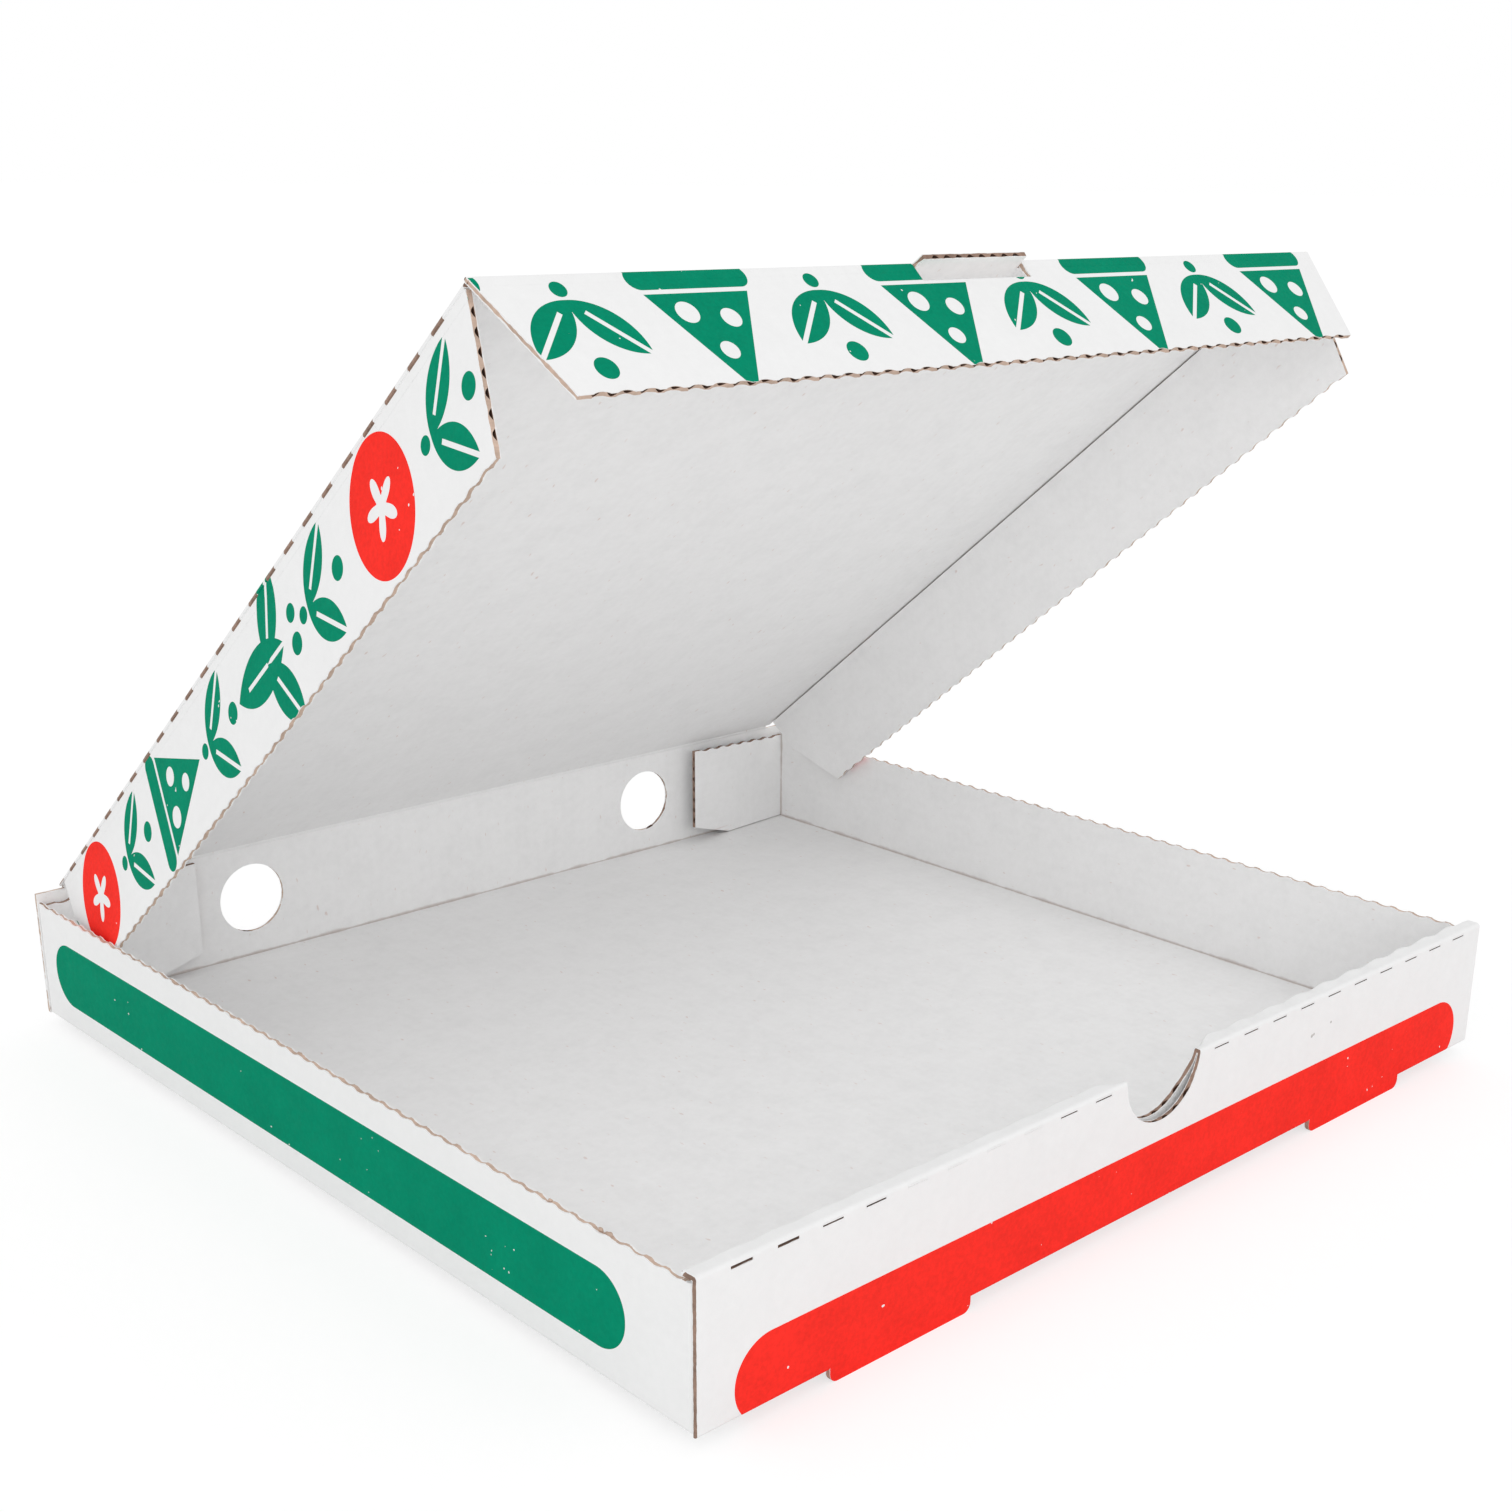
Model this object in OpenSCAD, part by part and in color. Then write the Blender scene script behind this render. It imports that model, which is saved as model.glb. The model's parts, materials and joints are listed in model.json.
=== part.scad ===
// Open pizza box folded from one sheet of corrugated board.
// +X is the right side, -Y the front, +Z up. The origin is the centre of the base's underside.

/* [Board] */
// Thickness of the corrugated board
board = 1.5; // [1.3:0.1:2.4]
// Outer radius of a fold
fold_r = 1.2; // [0.5:0.1:1.4]
// Gap between panels that lie against each other
panel_gap = 0.3; // [0.2:0.05:0.5]
// Gap across a crease that turns
crease_gap = 0.3; // [0.2:0.05:0.5]
// Distance from one flute to the next
flute_pitch = 4.45; // [4:0.05:8]
// Thickness of the liners on the flutes
liner = 0.25; // [0.15:0.01:0.3]
// Depth to which the flutes are open at the cut edges
flute_depth = 4; // [2:0.5:4.5]

/* [Wave-cut edges] */
// Distance from one wave to the next
wave_pitch = 6.7; // [5.5:0.1:10]
// Depth of the waves
wave_depth = 0.6; // [0.3:0.1:1.5]
// Width of a wave's hollow
wave_w = 5; // [3:0.1:5.2]

/* [Tray] */
// Outer width, left to right
tray_w = 330; // [290:1:450]
// Outer depth, front to back
tray_d = 330; // [260:1:450]
// Height of the double front wall
front_h = 41; // [38:0.5:60]
// Step from the underside of the front wall's rolled top down to the side walls
side_step = 1; // [0.3:0.1:3]

/* [Front wall] */
// Radius of the thumb notch
notch_r = 16; // [10:0.5:20]
// Distance from the middle to the centre of each lock
lock_x = 99.5; // [70:0.5:110]
// Width of the tongue that shows below each lock
tongue_w = 49; // [30:0.5:60]
// Drop of the tongues below the base
tongue_drop = 3.5; // [2.6:0.1:5]
// Corner radius of the tongues
tongue_r = 2.5; // [1:0.1:2.5]
// How much narrower than its tongue a lock tab is
lock_tab_inset = 4; // [2:0.5:10]
// Length of one slit in the perforated crease
slit_len = 6.6; // [3:0.1:8]
// Height of one slit
slit_h = 0.8; // [0.4:0.1:1.2]
// Distance from one slit to the next
slit_pitch = 14; // [10:0.5:20]
// Distance from the middle to the first slit
slit_start = 22.5; // [21:0.5:30]
// Distance that the slits keep from the ends of the wall
slit_margin = 5; // [3:0.5:20]
// Length of the tuck flaps inside the front wall
front_tuck_len = 60; // [30:1:65]
// Drop of those tuck flaps below the side walls' top edge
front_tuck_drop = 2.5; // [1:0.5:10]

/* [Back wall] */
// Radius of the vent holes
vent_r = 12.3; // [5:0.1:14]
// Distance from the middle to each vent hole
vent_x = 88.8; // [40:0.2:95]
// Height of the vent holes' centres above the middle of the wall
vent_rise = 1.75; // [-2:0.25:3]
// Length of the tuck flaps inside the back wall
rear_tuck_len = 53; // [30:1:55]
// Rise of those tuck flaps' top edge towards their free ends
rear_tuck_rise = 2; // [0:0.1:2.2]
// Dip of that edge at their folds
rear_tuck_dip = 1; // [0.4:0.1:3]
// Length of the cut at their lower free corner
rear_tuck_cut_len = 20; // [5:0.5:25]
// Height of that cut
rear_tuck_cut_h = 6; // [2:0.5:12]
// Angle at which the left one stands off the back wall
left_tuck_lean = 1; // [0:0.5:6]
// Angle at which the right one stands off the back wall
right_tuck_lean = 5; // [0:0.5:6]

/* [Lid] */
// Angle to which the lid is open
lid_angle = 39; // [20:1:80]
// Gap between the closed lid and the top of the front wall
lid_clear = 0.6; // [0.4:0.1:3]
// Gap between the lid's flaps and the walls as the lid closes
flap_clear = 0.6; // [0.4:0.1:3]
// Width of the pull tab
tab_w = 41; // [20:1:60]
// Length of the pull tab
tab_len = 5; // [3:0.5:10]
// How much narrower the tab's tip is at each end
tab_taper = 0.7; // [0:0.1:3]
// Gap around the pull tab in the front flap's window
window_gap = 0.5; // [0.4:0.1:2]

/* [Lid flaps] */
// Height of the front flap
front_flap_h = 33.5; // [20:0.5:36]
// Angle at which the front flap stands out from square
front_splay = 8; // [0:0.5:15]
// How far the front flap's ends slant in towards its free edge
front_end_cut = 10; // [4:0.5:20]
// Height of the side flaps
side_flap_h = 37; // [20:0.5:38]
// Angle at which the left flap stands out from square
left_splay = 9; // [0:0.5:15]
// Angle at which the right flap stands out from square
right_splay = 7; // [0:0.5:15]
// How far the side flaps' front ends slant back towards their free edges
side_end_cut = 8; // [2:0.5:20]
// Distance from the lid's crease to the side flaps' rear ends
side_rear_start = 6; // [5.5:0.5:20]
// How far the side flaps' rear ends slant forward towards their free edges
side_rear_cut = 16; // [6:0.5:30]
// Depth down to which those rear ends are nearly square
side_rear_square = 14; // [4:0.5:18]
// Slant of that nearly square stretch
side_rear_lean = 2; // [0:0.5:4]

/* [Hidden] */
$fn = 48;
outside_colour = [0.93, 0.93, 0.92];
lid_colour = [0.86, 0.86, 0.85];
flap_colour = [0.9, 0.9, 0.89];

// Overlap of a cutter past the face that it cuts
past = 1;
half_w = tray_w / 2;
half_d = tray_d / 2;
side_h = front_h - board - side_step;
// The double front wall: outer panel, tuck flap and inner panel
roll_w = 3 * board + 2 * panel_gap;
front_in_y = -half_d + roll_w;
inner_half_w = half_w - board - panel_gap;
front_fold_y = -half_d + board + panel_gap;
rear_fold_y = half_d - board - panel_gap;
lock_tab_w = tongue_w - lock_tab_inset;
// The slits open into the hollow under the rolled top
slit_z = front_h - board - slit_h / 2;
slit_count = floor((half_w - slit_margin - slit_start - slit_len) / slit_pitch) + 1;

// The lid's crease runs along the middle of the back wall, half a board above its top edge
hinge_y = half_d - board / 2;
hinge_z = front_h + lid_clear + board / 2;
back_h = hinge_z - board / 2 - crease_gap;
vent_z = back_h / 2 + vent_rise;
// The lid is as long and wide as lets its flaps, as they stand, go down inside the walls
front_reach = front_flap_h * sin(front_splay) + board / 2;
lid_len = hinge_y - front_in_y - flap_clear - front_reach;
side_reach = side_flap_h * sin(max(left_splay, right_splay)) + board;
lid_half_w = half_w - board - flap_clear - side_reach;
side_crease_z = -board / 2 - crease_gap;
side_nose_r = board + crease_gap;
lid_front_y = -lid_len + board / 2 + crease_gap;
side_front_y = lid_front_y + crease_gap;
window_w = tab_w + 2 * window_gap;
window_h = tab_len + window_gap;

// Radius of a wave's hollow
wave_r = (wave_w * wave_w / 4 + wave_depth * wave_depth) / (2 * wave_depth);
// A flute's mouth follows the fluted sheet up to this angle on either side of its crest
mouth_angle = 108;
mouth_h = board - 2.5 * liner;
mouth_points = [
    for (a = [-mouth_angle : mouth_angle / 3 : mouth_angle])
        [a / 360 * flute_pitch, mouth_h * (cos(a) - cos(mouth_angle)) / (1 - cos(mouth_angle))]
];

// What a fold's outer radius takes off a square corner at the origin
module fold_corner() {
    difference() {
        translate([-past, -past]) square(fold_r + past);
        translate([fold_r, fold_r]) circle(fold_r);
    }
}

// Section of a wall on its fold, with the outer face on x = 0 and the rounded fold at the origin
module wall_section(height) {
    difference() {
        square([board, height]);
        fold_corner();
    }
}

// Extrudes a section drawn with x across and y up along the part's Y axis, from one end to the other
module along_y(from, to) {
    translate([0, to, 0]) rotate([90, 0, 0]) linear_extrude(to - from) children();
}

// Extrudes a section drawn with x towards the back and y up along the part's X axis, centred
module along_x(length) {
    translate([-length / 2, 0, 0]) rotate([90, 0, 90]) linear_extrude(length) children();
}

// A rectangle on the x axis with its two lower corners rounded, centred left to right
module round_foot(width, height, radius) {
    translate([-width / 2, radius]) square([width, height - radius]);
    translate([-width / 2 + radius, 0]) square([width - 2 * radius, height]);
    for (side = [-1, 1]) translate([side * (width / 2 - radius), radius]) circle(radius);
}

// Hollows of a wave-cut edge that lies on the x axis, centred, with the board below it
module wave_hollows(length) {
    count = floor((length - wave_w) / wave_pitch) + 1;
    for (i = [0 : count - 1])
        translate([(i - (count - 1) / 2) * wave_pitch, wave_r - wave_depth]) circle(wave_r);
}

// Mouths of the flutes in an edge that runs along x, centred, with the board's faces on y = 0 and y = board.
// The cut leaves each flute open on one side of the fluted sheet and pressed shut on the other.
module flute_mouths(length) {
    count = floor(length / flute_pitch);
    for (i = [0 : count - 1])
        translate([(i - (count - 1) / 2) * flute_pitch, liner]) polygon(mouth_points);
}

// Left side wall with its two tuck flaps; the rear one stands off the back wall by lean degrees
module side_wall(lean) {
    difference() {
        union() {
            difference() {
                translate([-half_w, 0, 0]) along_y(front_fold_y, rear_fold_y) wall_section(side_h);
                translate([-half_w - past, 0, side_h]) rotate([90, 0, 90]) linear_extrude(board + 2 * past)
                    wave_hollows(rear_fold_y - front_fold_y - 4 * board);
            }
            front_tuck();
            rear_tuck(lean);
        }
        for (y = [front_fold_y, rear_fold_y])
            translate([-half_w, y, -past]) mirror([0, y > 0 ? 1 : 0, 0])
                linear_extrude(front_h + 2 * past) fold_corner();
    }
}

module front_tuck() {
    translate([-half_w, front_fold_y, board + panel_gap])
        cube([board + front_tuck_len, board, side_h - front_tuck_drop - board - panel_gap]);
}

// The tuck flap turns about the inner edge of its fold
module rear_tuck(lean) {
    low = board + panel_gap;
    high = side_h + rear_tuck_rise;
    edge_low = low + rear_tuck_cut_h;
    slope = atan((rear_tuck_rise + rear_tuck_dip) / (rear_tuck_len + board / 2));
    translate([-half_w + board, rear_fold_y - board, 0]) rotate([0, 0, -lean]) difference() {
        translate([0, board, 0]) rotate([90, 0, 0]) linear_extrude(board) difference() {
            polygon([
                [-board / 2, low], [rear_tuck_len - rear_tuck_cut_len, low],
                [rear_tuck_len, edge_low], [rear_tuck_len, high],
                [-board / 2, side_h - rear_tuck_dip]
            ]);
            translate([rear_tuck_len, high]) rotate(slope) translate([-rear_tuck_len / 2, 0])
                wave_hollows(rear_tuck_len - 4 * board);
        }
        translate([rear_tuck_len + past, 0, (edge_low + high) / 2]) rotate([0, -90, 0])
            linear_extrude(flute_depth + past) flute_mouths(high - edge_low - wave_depth);
    }
}

// Outer panel and rolled top strip of the front wall
module front_outer() {
    translate([0, -half_d, 0]) along_x(tray_w) difference() {
        union() {
            square([board, front_h]);
            translate([0, front_h - board]) square([roll_w, board]);
        }
        fold_corner();
        translate([0, front_h]) mirror([0, 1]) fold_corner();
        translate([roll_w, front_h]) rotate(180) fold_corner();
    }
    for (side = [-1, 1])
        translate([side * lock_x, -half_d + board, -tongue_drop]) rotate([90, 0, 0])
            linear_extrude(board) round_foot(tongue_w, tongue_drop + 2 * fold_r, tongue_r);
}

// Inner panel of the front wall, with the lock tabs that go down through the base
module front_inner() {
    foot = board + panel_gap;
    translate([-inner_half_w, front_in_y - board, foot])
        cube([2 * inner_half_w, board, front_h - board / 2 - foot]);
    for (side = [-1, 1])
        translate([side * lock_x - lock_tab_w / 2, front_in_y - board, 0])
            cube([lock_tab_w, board, 2 * foot]);
}

// Mouths of the flutes in the edge of the thumb notch, in the outer and the inner panel
module notch_mouths() {
    for (y = [-half_d, front_in_y - board])
        translate([0, y, front_h - notch_r - flute_depth]) linear_extrude(notch_r + flute_depth + past)
            flute_mouths(2 * notch_r - board);
}

// Slits that let the front wall's top crease bend
module crease_slits() {
    for (side = [0, 1], i = [0 : slit_count - 1])
        mirror([side, 0, 0])
            translate([slit_start + i * slit_pitch, -half_d - past, slit_z])
                cube([slit_len, past + board + panel_gap, slit_h]);
}

module base() {
    inset = fold_r;
    difference() {
        translate([-half_w + inset, -half_d + inset, 0])
            cube([tray_w - 2 * inset, tray_d - 2 * inset, board]);
        for (side = [-1, 1])
            translate([side * lock_x - tongue_w / 2, -half_d - past, -past])
                cube([tongue_w, roll_w + panel_gap + past, board + 2 * past]);
    }
}

module back_wall() {
    difference() {
        translate([0, half_d, 0]) mirror([0, 1, 0]) along_x(tray_w) wall_section(back_h);
        for (side = [-1, 1])
            translate([side * vent_x, half_d + past, vent_z]) rotate([90, 0, 0])
                cylinder(r = vent_r, h = board + 2 * past);
    }
}

module tray() {
    color(outside_colour) {
        base();
        back_wall();
        side_wall(left_tuck_lean);
        mirror([1, 0, 0]) side_wall(right_tuck_lean);
        difference() {
            union() {
                front_outer();
                front_inner();
            }
            translate([0, front_in_y + past, front_h]) rotate([90, 0, 0])
                cylinder(r = notch_r, h = roll_w + 2 * past);
            notch_mouths();
            crease_slits();
        }
    }
}

// Turns what is drawn for a closed lid, with its crease at the origin, to where the lid stands
module on_lid() {
    translate([0, hinge_y, hinge_z]) rotate([-lid_angle, 0, 0]) children();
}

// Rounded edge of the lid over the right flap's crease, ending where the flap begins
module side_nose(splay) {
    translate([lid_half_w, 0, side_crease_z]) along_y(side_front_y, -board)
        intersection() {
            circle(side_nose_r);
            translate([-crease_gap, crease_gap]) square(2 * side_nose_r);
            rotate(splay) translate([-side_nose_r, 0]) square(2 * side_nose_r);
        }
}

module lid() {
    color(lid_colour) on_lid() {
        translate([-lid_half_w, lid_front_y, -board / 2]) cube([2 * lid_half_w, -lid_front_y, board]);
        rotate([0, 90, 0]) cylinder(d = board, h = 2 * lid_half_w, center = true);
        side_nose(right_splay);
        mirror([1, 0, 0]) side_nose(left_splay);
        pull_tab();
    }
}

module pull_tab() {
    tip_half = tab_w / 2 - tab_taper;
    translate([0, lid_front_y, -board / 2]) difference() {
        linear_extrude(board) polygon([
            [-tab_w / 2, past], [tab_w / 2, past], [tip_half, -tab_len], [-tip_half, -tab_len]
        ]);
        translate([0, flute_depth - tab_len, 0]) rotate([90, 0, 0]) linear_extrude(flute_depth + past)
            flute_mouths(2 * tip_half - board);
    }
}

module lid_front_flap() {
    fold_half = lid_half_w + board;
    edge_half = fold_half - front_end_cut;
    color(flap_colour) on_lid() translate([0, -lid_len, 0]) rotate([-front_splay, 0, 0]) difference() {
        union() {
            rotate([0, 90, 0]) cylinder(d = board, h = 2 * fold_half, center = true);
            translate([0, board / 2, 0]) rotate([90, 0, 0]) linear_extrude(board) difference() {
                polygon([
                    [-fold_half, 0], [fold_half, 0], [edge_half, -front_flap_h], [-edge_half, -front_flap_h]
                ]);
                translate([0, -front_flap_h]) mirror([0, 1]) wave_hollows(2 * (edge_half - board));
            }
        }
        translate([0, -board / 2, -front_flap_h - past]) linear_extrude(flute_depth + past)
            flute_mouths(2 * (edge_half - board));
        translate([-window_w / 2, -board, -window_h]) cube([window_w, 2 * board, window_h + board]);
    }
}

// Right side flap, with the inner face of the board on its crease
module side_flap(splay) {
    rear = -side_rear_start;
    edge_rear = rear - side_rear_cut;
    edge_front = side_front_y + side_end_cut;
    mouth_len = side_end_cut + flute_depth + past;
    on_lid() translate([lid_half_w, 0, side_crease_z]) rotate([0, -splay, 0]) difference() {
        rotate([90, 0, 90]) linear_extrude(board) difference() {
            polygon([
                [rear, -crease_gap], [rear - side_rear_lean, -side_rear_square],
                [edge_rear, -side_flap_h], [edge_front, -side_flap_h], [side_front_y, -crease_gap]
            ]);
            translate([(edge_rear + edge_front) / 2, -side_flap_h]) mirror([0, 1])
                wave_hollows(edge_rear - edge_front - 2 * board);
        }
        translate([0, side_front_y - past, -side_flap_h / 2]) rotate([-90, 0, 0]) rotate([0, 0, -90])
            linear_extrude(mouth_len) flute_mouths(side_flap_h - board);
    }
}

module lid_right_flap() {
    color(flap_colour) side_flap(right_splay);
}

module lid_left_flap() {
    color(flap_colour) mirror([1, 0, 0]) side_flap(left_splay);
}

tray();
lid();
lid_front_flap();
lid_left_flap();
lid_right_flap();
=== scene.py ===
"""Looks of an open pizza box folded from one sheet of corrugated board.

Every panel is dressed from its packed solid: liners, cut edges and open flutes get their own
finishes, thin paper skins close the creases that turn, and the print lies on the flat sheet.
Painted shade darkens the open flutes, the slits, the rear tucks' edges and the inside corners
of the tray's folds.
"""

import functools
import json
import math
import random

import bmesh
import bpy
from bpy.props import FloatProperty, FloatVectorProperty, IntProperty, PointerProperty
from mathutils import Matrix, Vector


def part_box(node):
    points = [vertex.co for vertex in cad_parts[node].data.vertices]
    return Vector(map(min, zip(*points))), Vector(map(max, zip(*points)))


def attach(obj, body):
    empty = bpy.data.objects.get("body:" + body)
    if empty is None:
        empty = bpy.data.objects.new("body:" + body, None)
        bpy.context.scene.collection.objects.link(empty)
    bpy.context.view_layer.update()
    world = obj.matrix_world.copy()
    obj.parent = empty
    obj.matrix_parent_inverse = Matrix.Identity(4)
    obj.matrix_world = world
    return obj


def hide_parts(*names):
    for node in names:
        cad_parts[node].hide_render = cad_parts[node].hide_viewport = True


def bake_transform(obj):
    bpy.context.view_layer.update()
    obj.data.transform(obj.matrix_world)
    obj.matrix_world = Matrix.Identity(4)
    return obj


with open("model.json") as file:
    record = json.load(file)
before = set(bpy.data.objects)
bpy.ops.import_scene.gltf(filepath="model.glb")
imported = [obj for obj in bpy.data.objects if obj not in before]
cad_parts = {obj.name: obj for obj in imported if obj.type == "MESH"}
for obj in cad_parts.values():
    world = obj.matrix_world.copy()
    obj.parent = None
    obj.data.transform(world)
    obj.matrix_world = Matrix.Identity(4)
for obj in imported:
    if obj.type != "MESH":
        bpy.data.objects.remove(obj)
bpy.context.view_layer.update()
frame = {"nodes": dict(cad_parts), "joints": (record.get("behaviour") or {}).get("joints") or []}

bl_info = {
    "name": "Pizza box looks",
    "version": (1, 0, 0),
    "blender": (4, 5, 0),
    "location": "View3D > Sidebar > Pizza box",
    "description": "Dresses a folded board box: liners, cut edges, creases, print and stage",
    "category": "Object",
}

MM = 0.001
SNAP = 0.06 * MM
MERGE = 1e-6
CUT_SNAP = 1e-7
SHARP = math.radians(28)
SKIN_SHARP = math.radians(40)
X_AXIS, Y_AXIS, Z_AXIS = Vector((1, 0, 0)), Vector((0, 1, 0)), Vector((0, 0, 1))
# Finishes: open flutes get near-black painted shade, slits a darker raw brown with painted shade
OUTSIDE, INSIDE, CUT, FLUTE_SHADE, RAW_AND_SHADE = range(5)

# How closely a face follows a direction
FLAT, LEANING, FACING, ALONG, SKEW = 0.999, 0.98, 0.8, 0.25, 0.01

# Places that the frame gives
JOINTS = {joint["name"]: joint for joint in frame["joints"]}
HINGE = Vector(JOINTS["lid_hinge"]["pos_m"])
FRONT_FOLD = Vector(JOINTS["front_flap_fold"]["pos_m"])
LID_LEN = (FRONT_FOLD - HINGE).length
LID_ALONG = (FRONT_FOLD - HINGE).normalized()
LID_TOP = LID_ALONG.cross(X_AXIS)
SIDE_FOLDS = {side: Vector(JOINTS[side + "_flap_fold"]["pos_m"]) for side in ("left", "right")}
LID_HALF_W = SIDE_FOLDS["right"].x
TRAY_LOW, TRAY_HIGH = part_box("tray")
HALF_W, HALF_D = TRAY_HIGH.x, TRAY_HIGH.y

# Sizes of the folded tray
FRONT_H = 41 * MM
SIDE_H = 38.5 * MM
ROLL_R = 1.2 * MM
NOTCH_R = 16 * MM
PANEL_GAP = 0.3 * MM
REAR_FOLD = 1.8 * MM
TAB_HALF_W = 21.2 * MM
TUCK_DEPTH, TUCK_FROM = 12 * MM, 0.55
MOUTH_LOW, MOUTH_TOP = 8 * MM, 4 * MM
SLIT_Z, SLIT_H = 39.5 * MM, 0.8 * MM
SLIT_FIRST, SLIT_STEP = 25.8 * MM, 14 * MM

# Share of a liner that an open flute keeps clear of, and liners' widths on cut edges, in boards
FLUTE_EDGE = 0.6
ACROSS_LINERS, ALONG_LINERS = 0.10, 0.2
FRONT_LINERS, BACK_END_LINERS, BACK_LINERS, SIDE_LINERS = 0.12, 0.3, 0.2, 0.22

# Rolled top of the front wall, and its layers that are pressed together beside the notch
END_FADE, NOTCH_FADE, BULGE_LEFT = 8 * MM, 4 * MM, 0.4
PRESS_HEIGHT, PRESS_CUTS = 0.9, (0.25, 0.5, 0.75)

# Paper skins: distance from the board, thickness at their ends and in slits, and where they turn
SKIN_GAP, SKIN_END, RAW_SKIN = 0.015 * MM, 0.15, 0.3
BACK_TURN, BACK_ANGLE, INNER_LAP = 0.3 * MM, -10, 1 * MM
SIDE_REAR, SIDE_FRONT = 7 * MM, 1.5 * MM

# Front slits that stayed almost shut: start, count and what stays open
SLIT_LIPS = ((-127.1 * MM, 2, 0.45 * MM), (-99.1 * MM, 4, 0.06 * MM), (-43.1 * MM, 2, 0.35 * MM),
             (22.5 * MM, 10, 0.36 * MM))
LIP_START, LIP_LEN, LIP_COVER = 0.1 * MM, 6.8 * MM, 1.25

# Raw slits of the side creases: where they begin round the bend, and how far they run down
SLIT_ANGLE, SLIT_DOWN, SLIT_BEND = 40, 0.45 * MM, 0.1 * MM

# Torn paper on the left wall: place along it and radius
NICKS = ((-134 * MM, 0.75 * MM), (-131 * MM, 0.55 * MM), (-112 * MM, 0.45 * MM),
         (0.5 * MM, 0.65 * MM))
NICK_SEED, NICK_ROUGH, NICK_SHAPE, NICK_LIFT = 5, (0.7, 1.25), (0.8, 1.7, 0.75), 0.05 * MM

# Rub marks on the front wall in millimetres: place along it, height and radius
MARKS = ((71.6, 28.9, 0.55), (72.6, 29.2, 0.45), (81.3, 30.6, 0.4))

# Motifs: a disc is (place, radius), a leaf (place, turn, half length, half width)
MOTIF_UNITS = 32.0
CRUST_HALF, CRUST_DOWN, CRUST_R = 12.5, 12.4, 2.9
WEDGE_BASE, WEDGE_TIP, WEDGE_SLOPE = -8.4, 17.0, 0.52
TOPPINGS = (((-5.2, -3.6), 2.7), ((4.8, -1.8), 2.4), ((-0.6, 6.2), 2.2))
SPRIG_LEAVES = (((0, -4.5), 0.0, 14.0, 6.2), ((-9.6, 5.2), 1.05, 11.0, 5.0),
                ((9.6, 5.2), -1.05, 11.0, 5.0))
SPRIG_BUDS = (((-3.4, 15.2), 2.5), ((3.6, 15.8), 2.1))
PAIR_LEAVES = (((-6.4, -1.0), 0.75, 9.4, 4.3), ((6.4, -1.0), -0.75, 9.4, 4.3))
PAIR_BUDS = (((0, 8.6), 2.6), ((0, -10.5), 1.9))
RIB_HALF, RIB_FROM = 0.55, -0.55
TOMATO_R, TOMATO_FLAT, STAR_R, STAR_WAVE, STAR_TURN = 14.6, 1.08, 4.6, 2.3, 0.9

# Stage
FLOOR_HALF = 30.0
KEY_AT, FILL_AT, LAMP_AIM = (-1.3, -1.15, 0.5), (0.55, -1.65, 0.45), Vector((0, 0, 0.1))
LAMP_SIZE, SENSOR, CLIP = 0.9, 36.0, (0.01, 100.0)


# Settings

def colour(name, description, default):
    return FloatVectorProperty(
        name=name, description=description, subtype="COLOR", size=3, default=default)


def length(name, description, millimetres):
    return FloatProperty(
        name=name, description=description, default=millimetres * MM, unit="LENGTH")


def angle(name, description, degrees):
    return FloatProperty(
        name=name, description=description, default=math.radians(degrees), unit="ROTATION")


def power(name, description, watts):
    return FloatProperty(name=name, description=description, default=watts, unit="POWER")


def number(name, description, default, **limits):
    return FloatProperty(name=name, description=description, default=default, **limits)


class BoardSettings(bpy.types.PropertyGroup):
    """Sheet of corrugated board."""

    thickness: length("Board thickness", "Thickness of the corrugated board", 1.5)
    liner: length("Liner", "Thickness of a liner", 0.25)
    flute_pitch: length("Flute pitch", "Distance from one flute to the next", 4.45)
    outside: colour("Outside liner", "Bleached outer liner", (0.86, 0.86, 0.86))
    inside: colour("Inside liner", "Bare inner liner", (0.935, 0.932, 0.931))
    cut_edge: colour("Cut edge", "Brown paper where the board is cut", (0.55, 0.41, 0.33))
    # Near-black painted shade in the open flutes' hollows, whose paper is the cut edge's brown
    flute: colour("Open flute", "Inside of the open flutes", (0.10, 0.052, 0.036))
    # Darker raw brown with painted shade: slits, side-crease slit cores and the rear tucks' edges
    slit: colour("Slit", "Darker brown in slits and on pressed edges", (0.30, 0.20, 0.155))
    fleck: colour("Fleck", "Brown fibres in the inside liner", (0.62, 0.43, 0.36))
    # Painted shade along the inside corners of the tray's folds
    fold_shade_colour: colour("Fold line", "Line along the inside of a fold", (0.62, 0.56, 0.53))
    fold_width: length("Fold line width", "Reach of that line on each side", 1.2)


class PrintSettings(bpy.types.PropertyGroup):
    """Print on the outside liner."""

    green: colour("Green ink", "Colour of the green print", (0.0, 0.25, 0.138))
    red: colour("Red ink", "Colour of the red print", (0.95, 0.034, 0.024))
    mark: colour("Marks", "Small rub marks on the front wall", (0.52, 0.49, 0.48))
    repeat_across: length("Repeat across", "Distance between columns of the motifs", 38)
    repeat_along: length("Repeat along", "Distance between motifs in a column", 75)
    motif_size: length("Motif size", "Height of the largest motif", 38)


class CreaseSettings(bpy.types.PropertyGroup):
    """Paper skins over the creases, and the shape of the rolled front."""

    skin: length("Skin", "Thickness of the paper over a crease", 0.07)
    reach: length("Reach", "How far the skin lies on each panel", 2.4)
    slit: length("Slit", "Length of a slit in a perforated crease", 6)
    slit_pitch: length("Slit pitch", "Distance from one slit to the next", 13)
    bulge: length("Bulge", "How far the rolled top of the front wall bulges at its slits", 0.9)
    bulge_steps: IntProperty(
        name="Bulge steps", description="Cuts along the rolled top", default=190, min=2)
    press: number("Press", "Share of the hollow lost at the notch's ends", 0.95, min=0, max=1)
    thin: number("Thin", "Share of the boards lost at the notch's ends", 0.3, min=0, max=0.9)
    press_reach: length("Press reach", "How far along the wall its layers are pressed", 9)


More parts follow.
